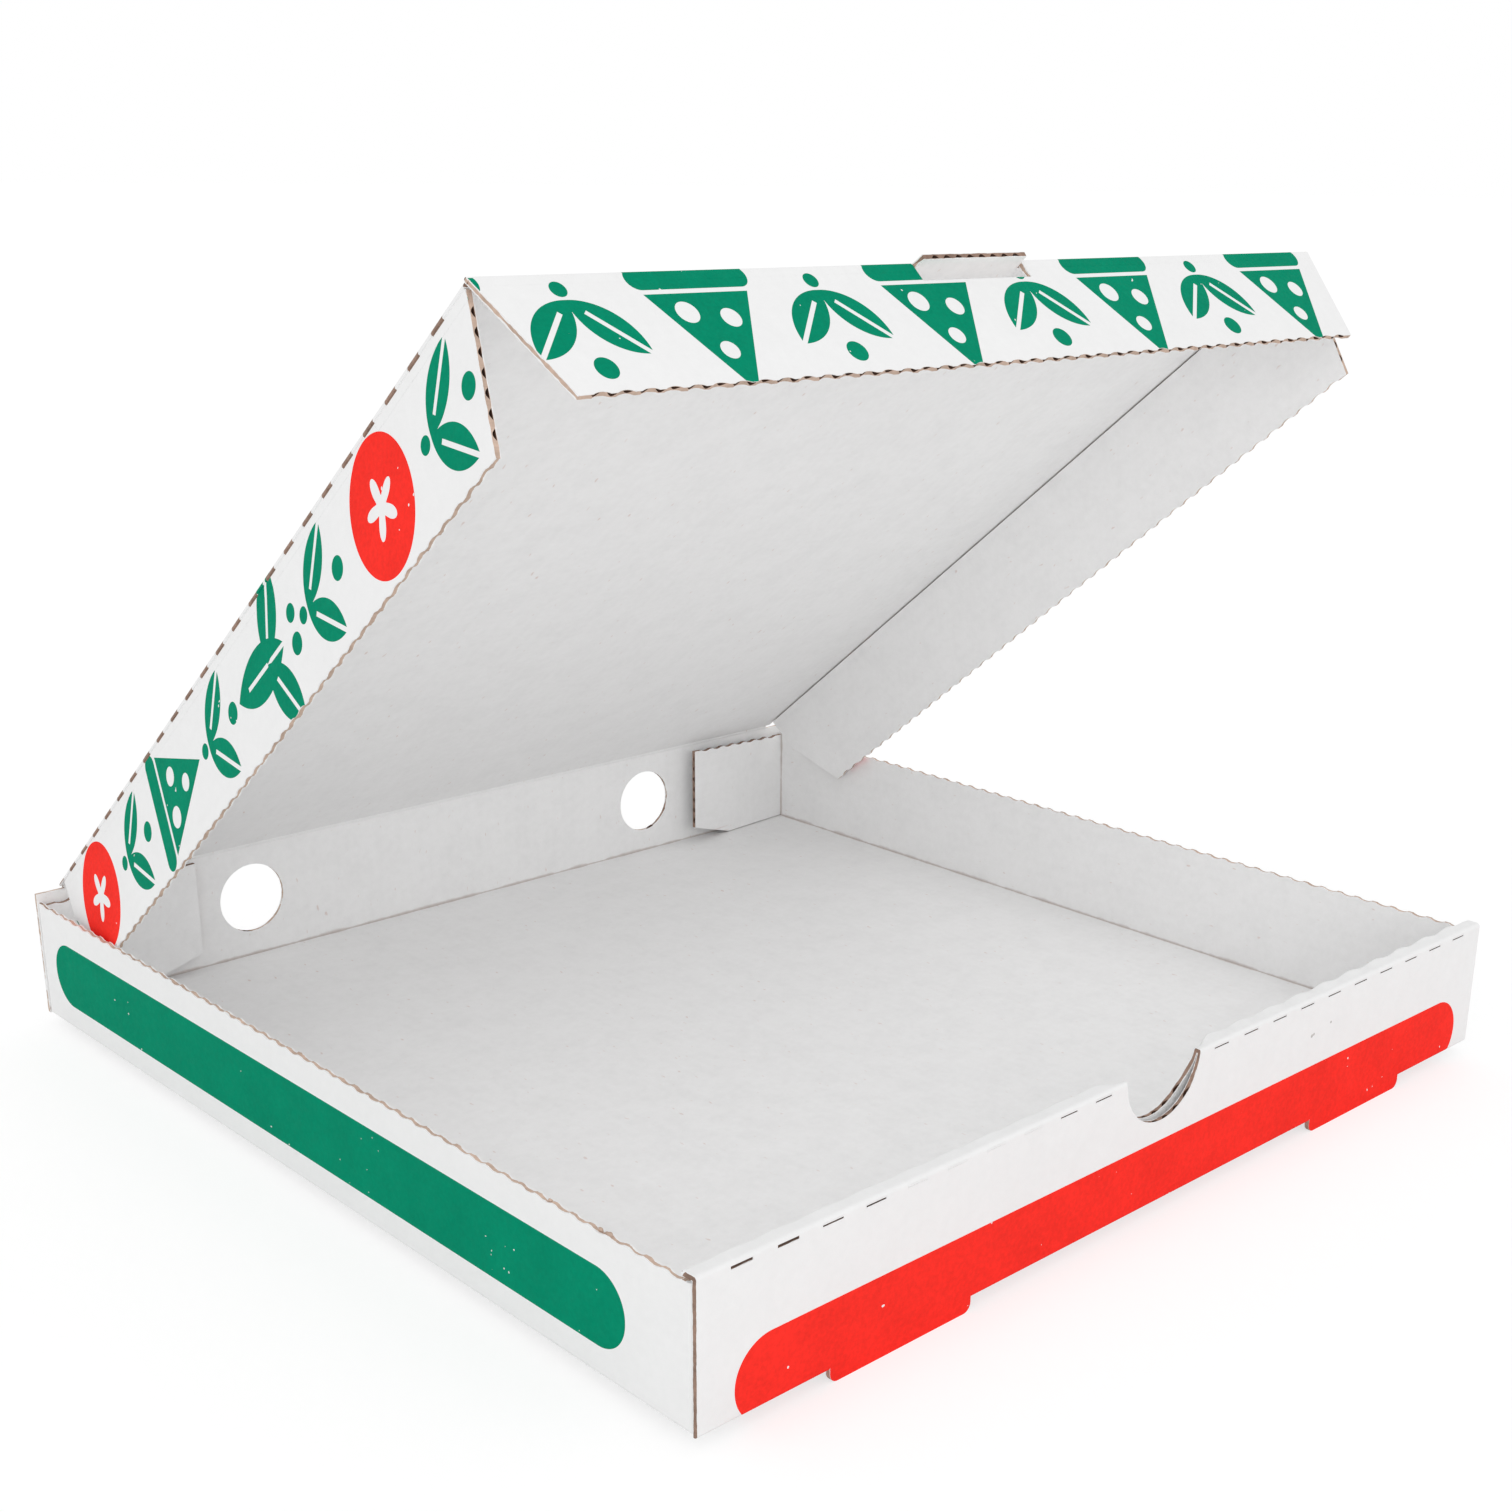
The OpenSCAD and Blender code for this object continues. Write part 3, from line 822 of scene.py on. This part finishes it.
def scallop(bm):
    """Lets the rolled top of the front wall bulge at its slits, more on the right than the left."""
    settings = bpy.context.scene.pizza_crease
    width = roll_width()

    def on_roll():
        middles = ((face, face.calc_center_median()) for face in bm.faces)
        return [face for face, middle in middles
                if middle.z > FRONT_H - ROLL_R and middle.y < -HALF_D + width + SNAP]

    geom = with_parts(on_roll())
    for i in range(1, settings.bulge_steps):
        geom = cut_faces(bm, geom, HALF_W * (2 * i / settings.bulge_steps - 1), X_AXIS)
    for vert in smooth_verts(on_roll()):
        x, y, z = vert.co
        away = abs(x)
        inner = smooth_step((y + HALF_D - ROLL_R) / (width - 2 * ROLL_R))
        height = smooth_step((z - FRONT_H + ROLL_R) / ROLL_R)
        ends = smooth_step((HALF_W - away) / END_FADE) * smooth_step((away - NOTCH_R) / NOTCH_FADE)
        wave = 0.5 + 0.5 * math.cos(2 * math.pi * (away - SLIT_FIRST) / SLIT_STEP)
        part = 1.0 if x > 0 else BULGE_LEFT
        vert.co.z += settings.bulge * part * wave * inner * height * ends


def press_notch(bm):
    """Presses the layers of the front wall together at the upper ends of the thumb notch."""
    settings = bpy.context.scene.pizza_crease
    board = board_thickness()
    hollow = board + 2 * PANEL_GAP
    roll_y = -HALF_D + 2 * board + hollow
    far = NOTCH_R + settings.press_reach
    deep = FRONT_H - PRESS_HEIGHT * NOTCH_R

    def pressed():
        """Faces of the front wall that reach into the notch's surroundings."""
        return [face for face in bm.faces
                if all(vert.co.y < roll_y + SNAP for vert in face.verts)
                and min(abs(vert.co.x) for vert in face.verts) < far
                and max(vert.co.z for vert in face.verts) > deep]

    places = [(X_AXIS, -far), (X_AXIS, far), (Z_AXIS, deep)]
    places += [(X_AXIS, sign * (NOTCH_R + part * settings.press_reach))
               for sign in (-1, 1) for part in PRESS_CUTS]
    places += [(Z_AXIS, deep + part * (FRONT_H - deep)) for part in PRESS_CUTS]
    for axis, place in places:
        cut_faces(bm, with_parts(pressed()), place, axis)
    inner = [face for face in pressed() if all(
        abs(vert.co.x) < far + SNAP and vert.co.z > deep - SNAP for vert in face.verts)]
    for vert in smooth_verts(inner):
        x, y, z = vert.co
        near = smooth_step((far - abs(x)) / settings.press_reach)
        high = smooth_step((z - deep) / (FRONT_H - deep))
        depth = min(max(y + HALF_D - board, 0.0), hollow)
        left = y + HALF_D - settings.press * near * high * depth
        vert.co.y = -HALF_D + left * (1 - settings.thin * near * high ** 3)


def shape_front(bm):
    scallop(bm)
    press_notch(bm)


class PIZZA_OT_tray(bpy.types.Operator):
    """Dress the tray with its double front wall"""

    bl_idname = "pizza.tray"
    bl_label = "Tray"

    def nicks(self):
        """Small curls of torn paper on the left wall's top edge."""
        draw = random.Random(NICK_SEED)
        bm = bmesh.new()
        for y, size in NICKS:
            curl = bmesh.ops.create_icosphere(bm, subdivisions=2, radius=size)
            for vert in curl["verts"]:
                rough = draw.uniform(*NICK_ROUGH)
                vert.co = Vector([a * b for a, b in zip(NICK_SHAPE, vert.co)]) * rough
                vert.co += Vector((-HALF_W + 0.5 * board_thickness(), y, SIDE_H + NICK_LIFT))
        for face in bm.faces:
            face.smooth = True
        mesh = to_mesh(bm, "paper_nicks")
        mesh.materials.append(bpy.data.materials["cut_edge"])
        made = add_object("paper_nicks", mesh)
        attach(made, "tray")

    def execute(self, context):
        dress("tray", "tray_board", "tray", tray_rules(), "banded_liner", "fold_shaded_liner",
              flat=lambda normal: max(abs(part) for part in normal) > 0.995, shape=shape_front)
        self.nicks()
        return {"FINISHED"}


class PIZZA_OT_lid(bpy.types.Operator):
    """Dress the lid panel with its pull tab"""

    bl_idname = "pizza.lid"
    bl_label = "Lid"

    def execute(self, context):
        half = board_thickness() / 2
        rules = panel_rules(HINGE, LID_TOP, -half, half, LID_ALONG,
                            lambda point, n, m: lid_place(point))
        dress("lid", "lid_board", "lid", rules, "printed_liner")
        return {"FINISHED"}


class PIZZA_OT_flaps(bpy.types.Operator):
    """Dress the lid's front flap and its two side flaps"""

    bl_idname = "pizza.flaps"
    bl_label = "Lid flaps"

    def front(self, board):
        normal, down = flap_axes("lid_front_flap", LID_ALONG, X_AXIS)

        def blank(point, n, m):
            return point.x, LID_LEN + (point - FRONT_FOLD).dot(down)

        rules = panel_rules(FRONT_FOLD, normal, -board / 2, board / 2, down, blank)
        dress("lid_front_flap", "front_flap_board", "front_flap", rules, "printed_liner")

    def side(self, side, sign, board):
        fold = SIDE_FOLDS[side]
        normal, down = flap_axes(f"lid_{side}_flap", sign * X_AXIS, LID_ALONG)

        def blank(point, n, m):
            return sign * (LID_HALF_W + (point - fold).dot(down)), (point - HINGE).dot(LID_ALONG)

        rules = panel_rules(fold, normal, 0.0, board, LID_ALONG, blank)
        dress(f"lid_{side}_flap", f"{side}_flap_board", f"{side}_flap", rules, "printed_liner")

    def execute(self, context):
        board = board_thickness()
        self.front(board)
        self.side("left", -1, board)
        self.side("right", 1, board)
        return {"FINISHED"}


# Creases

def bridge_tree():
    """Geometry Nodes: repeats a piece of paper skin along a crease."""
    if "Crease bridges" in bpy.data.node_groups:
        return bpy.data.node_groups["Crease bridges"]
    tree = bpy.data.node_groups.new("Crease bridges", "GeometryNodeTree")
    for label, kind in (("Geometry", "Geometry"), ("Count", "Int"), ("Step", "Vector"),
                        ("Material", "Material")):
        tree.interface.new_socket(label, in_out="INPUT", socket_type="NodeSocket" + kind)
    tree.interface.new_socket("Geometry", in_out="OUTPUT", socket_type="NodeSocketGeometry")
    g = Graph(tree)
    given = g.node("NodeGroupInput").outputs
    line = g.node("GeometryNodeMeshLine", mode="OFFSET")
    copies = g.node("GeometryNodeInstanceOnPoints")
    real = g.node("GeometryNodeRealizeInstances")
    finish = g.node("GeometryNodeSetMaterial")
    for node, socket, value in (
            (line, "Count", given["Count"]), (line, "Offset", given["Step"]),
            (copies, "Points", line.outputs["Mesh"]), (copies, "Instance", given["Geometry"]),
            (real, "Geometry", copies.outputs["Instances"]),
            (finish, "Geometry", real.outputs["Geometry"]),
            (finish, "Material", given["Material"]),
            (g.node("NodeGroupOutput"), "Geometry", finish.outputs["Geometry"])):
        g.put(node.inputs[socket], value)
    return tree


def repeat_along(made, **values):
    """Runs the crease tree on an object and keeps the result as a plain mesh."""
    tree = bridge_tree()
    modifier = made.modifiers.new("bridges", "NODES")
    modifier.node_group = tree
    for item in tree.interface.items_tree:
        if item.in_out == "INPUT" and item.name in values:
            modifier[item.identifier] = values[item.name]
    graph = bpy.context.evaluated_depsgraph_get()
    mesh = bpy.data.meshes.new_from_object(made.evaluated_get(graph))
    made.modifiers.remove(modifier)
    old = made.data
    made.data = mesh
    bpy.data.meshes.remove(old)
    mesh.name = made.name


def strip(name, outline, run, start, end):
    """Closed strip of paper: its outline goes up one face of the paper and back down the other."""
    size = len(outline)
    bm = bmesh.new()
    rings = [[bm.verts.new(point + along * run) for point in outline] for along in (start, end)]
    for i in range(size):
        j = (i + 1) % size
        bm.faces.new((rings[0][i], rings[0][j], rings[1][j], rings[1][i]))
    for ring in rings:
        for i in range(size // 2 - 1):
            bm.faces.new((ring[i], ring[i + 1], ring[size - 2 - i], ring[size - 1 - i]))
    bmesh.ops.recalc_face_normals(bm, faces=bm.faces)
    return add_object(name, to_mesh(bm, name))


def paper_skin(name, bands, run, finish):
    """Thin paper over a crease, in bands.

    A band holds a section and its spans. The section holds (point, flat-sheet place, thickness)
    across the crease, run is the direction along it, and a span is (start, end, count, pitch).
    """
    material = bpy.data.materials[finish]
    joined = bmesh.new()
    uv = joined.loops.layers.uv.new("blank")
    order = joined.verts.layers.int.new("order")
    for section, spans in bands:
        points = [point for point, _, _ in section]
        lifted = []
        for i, (point, _, thick) in enumerate(section):
            tangent = points[min(i + 1, len(points) - 1)] - points[max(i - 1, 0)]
            lifted.append(point + thick * tangent.cross(run).normalized())
        size = 2 * len(points)
        for start, end, count, pitch in spans:
            piece = strip(name, points + lifted[::-1], run, start, end)
            repeat_along(piece, Count=count, Step=pitch * run, Material=material)
            first_vert, first_face = len(joined.verts), len(joined.faces)
            joined.from_mesh(piece.data)
            joined.verts.ensure_lookup_table()
            joined.faces.ensure_lookup_table()
            for i, vert in enumerate(joined.verts[first_vert:]):
                vert[order] = i % size
            for face in joined.faces[first_face:]:
                face.smooth = True
                for loop in face.loops:
                    i = loop.vert[order]
                    place = section[min(i, size - 1 - i)][1]
                    loop[uv].uv = place(loop.vert.co)
            old = piece.data
            bpy.data.objects.remove(piece)
            bpy.data.meshes.remove(old)
    joined.verts.layers.int.remove(order)
    mesh = to_mesh(joined, name)
    mesh.materials.append(material)
    mesh.set_sharp_from_angle(angle=SKIN_SHARP)
    made = add_object(name, mesh)
    return made


def tapered(points, places):
    """Section of a skin that thins out to both ends."""
    skin = bpy.context.scene.pizza_crease.skin
    ends = (0, len(points) - 1)
    return [(point, place, (SKIN_END if i in ends else 1.0) * skin)
            for i, (point, place) in enumerate(zip(points, places))]


def arc(centre, first, second, radius, from_deg, to_deg, steps=7):
    """Points on an arc, with angles from first towards second."""
    turns = [math.radians(from_deg + (to_deg - from_deg) * i / (steps - 1)) for i in range(steps)]
    return [centre + radius * (math.cos(a) * first + math.sin(a) * second) for a in turns]


def degrees_of(vector, first, second):
    """Angle of a direction, from first towards second."""
    return math.degrees(math.atan2(vector.dot(second), vector.dot(first)))


class PIZZA_OT_creases(bpy.types.Operator):
    """Close the creases that turn with paper skins"""

    bl_idname = "pizza.creases"
    bl_label = "Creases"

    def lid_skin(self, name, points, run, finish, start, end):
        """Skin over the whole width of the lid's back crease."""
        section = tapered(points, [lid_place] * len(points))
        made = paper_skin(name, [(section, [(-LID_HALF_W, LID_HALF_W, 1, 0.0)])], run, finish)
        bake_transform(made)
        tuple(end)

    def back(self, reach):
        """Skin from the back wall over the crease onto the lid."""
        nose = board_thickness() / 2 + SKIN_GAP
        wall = [Vector((0, HALF_D + SKIN_GAP, HINGE.z - nose - down))
                for down in (reach, 0.5 * reach, BACK_TURN)]
        top = degrees_of(LID_TOP, Y_AXIS, Z_AXIS)
        bend = arc(HINGE, Y_AXIS, Z_AXIS, nose, BACK_ANGLE, top)
        flat = [HINGE + nose * LID_TOP + along * LID_ALONG for along in (0.5 * reach, reach)]
        self.lid_skin("lid_back_crease", wall + bend + flat, -X_AXIS, "printed_liner",
                      wall[-1], bend[-1])

    def inside(self):
        """Skin in the back crease, from the back wall's inside onto the lid's underside."""
        half = board_thickness() / 2 + SKIN_GAP
        low = half + PANEL_GAP
        wall = [HINGE - half * Y_AXIS - down * Z_AXIS for down in (low + INNER_LAP, low)]
        flat = [HINGE - half * LID_TOP + along * LID_ALONG for along in (low, low + INNER_LAP)]
        turns = [degrees_of(at - HINGE, Y_AXIS, Z_AXIS) % 360 for at in (wall[-1], flat[0])]
        bend = arc(HINGE, Y_AXIS, Z_AXIS, math.hypot(half, low), *turns)
        points = [Vector((0, p.y, p.z)) for p in wall + bend[1:-1] + flat]
        self.lid_skin("lid_back_crease_inside", points, X_AXIS, "inside_liner",
                      points[1], points[-2])

    def front(self, reach):
        """Skin from the lid over its front crease onto the front flap, on both sides of the tab."""
        nose = board_thickness() / 2 + SKIN_GAP
        normal, down = flap_axes("lid_front_flap", LID_ALONG, X_AXIS)
        before, after = (reach + nose, nose, 0.5 * nose), (0.5 * reach, reach)
        flat = [FRONT_FOLD + nose * LID_TOP - back * LID_ALONG for back in before]
        end_angle = degrees_of(normal, LID_ALONG, LID_TOP)
        bend = arc(FRONT_FOLD, LID_ALONG, LID_TOP, nose, 90, end_angle)
        face = [FRONT_FOLD + nose * normal + along * down for along in after]
        steps = [-back for back in before] + [0.0] * len(bend) + list(after)
        places = [lambda co, v=LID_LEN + step: (co.x, v) for step in steps]
        spans = [(-LID_HALF_W, -TAB_HALF_W, 1, 0.0), (TAB_HALF_W, LID_HALF_W, 1, 0.0)]
        made = paper_skin("front_flap_crease", [(tapered(flat + bend + face, places), spans)],
                          -X_AXIS, "printed_liner")
        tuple(flat[-1])
        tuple(face[0])
        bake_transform(made)

    def side(self, side, sign, reach):
        """Perforated skin from the lid over a side crease onto a side flap."""
        settings = bpy.context.scene.pizza_crease
        board = board_thickness()
        out = sign * X_AXIS
        fold = SIDE_FOLDS[side]
        fold = fold - (fold - HINGE).dot(LID_ALONG) * LID_ALONG
        normal, down = flap_axes(f"lid_{side}_flap", out, LID_ALONG)
        nose = board + PANEL_GAP + SKIN_GAP
        before, after = (reach, 0.4 * reach), (SLIT_BEND, SLIT_DOWN, reach + SLIT_DOWN)
        flat = [fold + nose * LID_TOP - back * out for back in before]
        over = arc(fold, out, LID_TOP, nose, 90, SLIT_ANGLE, 4)
        end_angle = degrees_of(normal, out, LID_TOP)
        bend = over + arc(fold, out, LID_TOP, nose, SLIT_ANGLE, end_angle, 6)[1:]
        face = [fold + (board + SKIN_GAP) * normal + along * down for along in after]
        steps = [-back for back in before] + [0.0] * len(bend) + list(after)
        places = [lambda co, u=sign * (LID_HALF_W + step): (u, (co - HINGE).dot(LID_ALONG))
                  for step in steps]
        section = tapered(flat + bend + face, places)
        rear, front = SIDE_REAR, LID_LEN - SIDE_FRONT
        pitch, bridge = settings.slit_pitch, settings.slit_pitch - settings.slit
        count = int((front - rear - 0.5 * bridge) / pitch)
        whole = [(rear, front, 1, 0.0)]
        bridges = [(rear, rear + bridge, count, pitch), (rear + count * pitch, front, 1, 0.0)]
        first, last = len(flat + over) - 1, len(section) - 2
        slit = section[first:last + 1]
        bands = [(section[:first + 1], whole), (section[last:], whole), (slit, bridges)]
        # Raw cores in the side creases' slits, in the darker brown that holds painted shade
        core = [(point, place, RAW_SKIN * thick) for point, place, thick in slit]
        raw = [(core, [(rear + bridge, rear + pitch, count, pitch)])]
        for name, part, finish in (("crease", bands, "printed_liner"), ("slits", raw, "slit_wall_and_shade")):
            if sign > 0:
                part = [(band[::-1], spans) for band, spans in part]
            made = paper_skin(f"{side}_flap_{name}", part, LID_ALONG, finish)
            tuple(flat[-1])
            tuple(face[0])
            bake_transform(made)

    def slits(self):
        """Lips of the front wall's slits that stayed almost shut."""
        skin = bpy.context.scene.pizza_crease.skin
        edge = LIP_COVER * SLIT_H / 2
        bands = []
        for start, count, opening in SLIT_LIPS:
            begin = start - LIP_START
            for ends in ((edge, opening / 2), (-opening / 2, -edge)):
                section = [(Vector((0, -HALF_D - SKIN_GAP, SLIT_Z + z)),
                            lambda co: (co.x, -HALF_D - co.z), skin) for z in ends]
                bands.append((section, [(begin, begin + LIP_LEN, count, SLIT_STEP)]))
        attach(paper_skin("front_crease_lips", bands, X_AXIS, "banded_liner"), "tray")

    def execute(self, context):
        reach = context.scene.pizza_crease.reach
        self.back(reach)
        self.inside()
        self.front(reach)
        self.side("left", -1, reach)
        self.side("right", 1, reach)
        self.slits()
        return {"FINISHED"}


# Stage

class PIZZA_OT_stage(bpy.types.Operator):
    """Set the floor, the soft light and the camera"""

    bl_idname = "pizza.stage"
    bl_label = "Stage"

    def floor(self, settings):
        mesh = bpy.data.meshes.new("floor")
        corners = [(x * FLOOR_HALF, y * FLOOR_HALF, TRAY_LOW.z)
                   for x, y in ((-1, -1), (1, -1), (1, 1), (-1, 1))]
        mesh.from_pydata(corners, [], [(0, 1, 2, 3)])
        floor = add_object("floor", mesh)
        g, shader = new_material("floor")
        place = g.node("ShaderNodeTexCoord").outputs["Object"]
        seen = g.node("ShaderNodeLightPath").outputs["Is Camera Ray"]
        tone = g.spread(g.noise(place, 3.0), 0.99, 1.01)
        tint = g.mix(seen, (*settings.floor, 1), (*settings.floor_seen, 1))
        g.put(shader["Base Color"], g.vector("SCALE", tint, scale=tone))
        g.put(shader["Roughness"], 0.9)
        g.put(shader["Specular IOR Level"], 0.0)
        g.put(shader["Emission Color"], (1, 1, 1, 1))
        g.put(shader["Emission Strength"], g.math("MULTIPLY", seen, settings.floor_glow))
        mesh.materials.append(bpy.data.materials["floor"])

    def light(self, settings):
        world = bpy.data.worlds.new("soft white")
        bpy.context.scene.world = world
        world.use_nodes = True
        g = Graph(world.node_tree)
        background = world.node_tree.nodes["Background"]
        seen = g.node("ShaderNodeLightPath").outputs["Is Camera Ray"]
        g.put(background.inputs["Strength"], g.fit(seen, 0.0, 1.0, settings.ambient, 1.0))
        background.inputs["Color"].default_value = (1, 1, 1, 1)
        for name, watts, place in (("key", settings.key_power, KEY_AT),
                                   ("fill", settings.fill_power, FILL_AT)):
            lamp = bpy.data.lights.new(name, "AREA")
            lamp.energy = watts
            lamp.shape = "DISK"
            lamp.size = LAMP_SIZE
            light = add_object(name, lamp)
            light.location = place
            aim = LAMP_AIM - light.location
            light.rotation_euler = aim.to_track_quat("-Z", "Y").to_euler()

    def camera(self, settings):
        data = bpy.data.cameras.new("camera")
        camera = add_object("camera", data)
        yaw, pitch, roll = settings.yaw, settings.pitch, settings.roll
        ahead = Vector((math.sin(yaw) * math.cos(pitch), math.cos(yaw) * math.cos(pitch),
                        -math.sin(pitch)))
        right = Vector((math.cos(yaw), -math.sin(yaw), 0))
        below = ahead.cross(right)
        across = math.cos(roll) * right + math.sin(roll) * below
        upward = math.sin(roll) * right - math.cos(roll) * below
        turn = Matrix((across, upward, -ahead)).transposed().to_4x4()
        turn.translation = settings.camera_at
        camera.matrix_world = turn
        data.sensor_width = SENSOR
        data.lens = settings.focal * SENSOR
        data.shift_x = 0.5 - settings.middle_across
        data.shift_y = settings.middle_down - 0.5
        data.clip_start, data.clip_end = CLIP
        bpy.context.scene.camera = camera

    def execute(self, context):
        settings = context.scene.pizza_stage
        self.floor(settings)
        self.light(settings)
        self.camera(settings)
        context.scene.view_settings.view_transform = "Standard"
        return {"FINISHED"}


class PIZZA_PT_looks(bpy.types.Panel):
    """Steps and settings of the pizza box"""

    bl_idname = "PIZZA_PT_looks"
    bl_label = "Pizza box"
    bl_space_type = "VIEW_3D"
    bl_region_type = "UI"
    bl_category = "Pizza box"

    def draw(self, context):
        for operator in OPERATORS:
            self.layout.operator(operator.bl_idname)
        for name, group in GROUPS.items():
            box = self.layout.box()
            box.label(text=group.__doc__)
            for key in group.__annotations__:
                box.prop(getattr(context.scene, name), key)


GROUPS = {"pizza_board": BoardSettings, "pizza_print": PrintSettings,
          "pizza_crease": CreaseSettings, "pizza_stage": StageSettings}
OPERATORS = (PIZZA_OT_stage, PIZZA_OT_tray, PIZZA_OT_lid, PIZZA_OT_flaps, PIZZA_OT_creases)
CLASSES = (*GROUPS.values(), *OPERATORS, PIZZA_PT_looks)


def register():
    for cls in CLASSES:
        bpy.utils.register_class(cls)
    for name, group in GROUPS.items():
        setattr(bpy.types.Scene, name, PointerProperty(type=group))


def unregister():
    for name in GROUPS:
        delattr(bpy.types.Scene, name)
    for cls in reversed(CLASSES):
        bpy.utils.unregister_class(cls)


def main():
    register()
    bpy.ops.pizza.stage()
    bpy.ops.pizza.tray()
    bpy.ops.pizza.lid()
    bpy.ops.pizza.flaps()
    bpy.ops.pizza.creases()


if __name__ == "__main__":
    main()
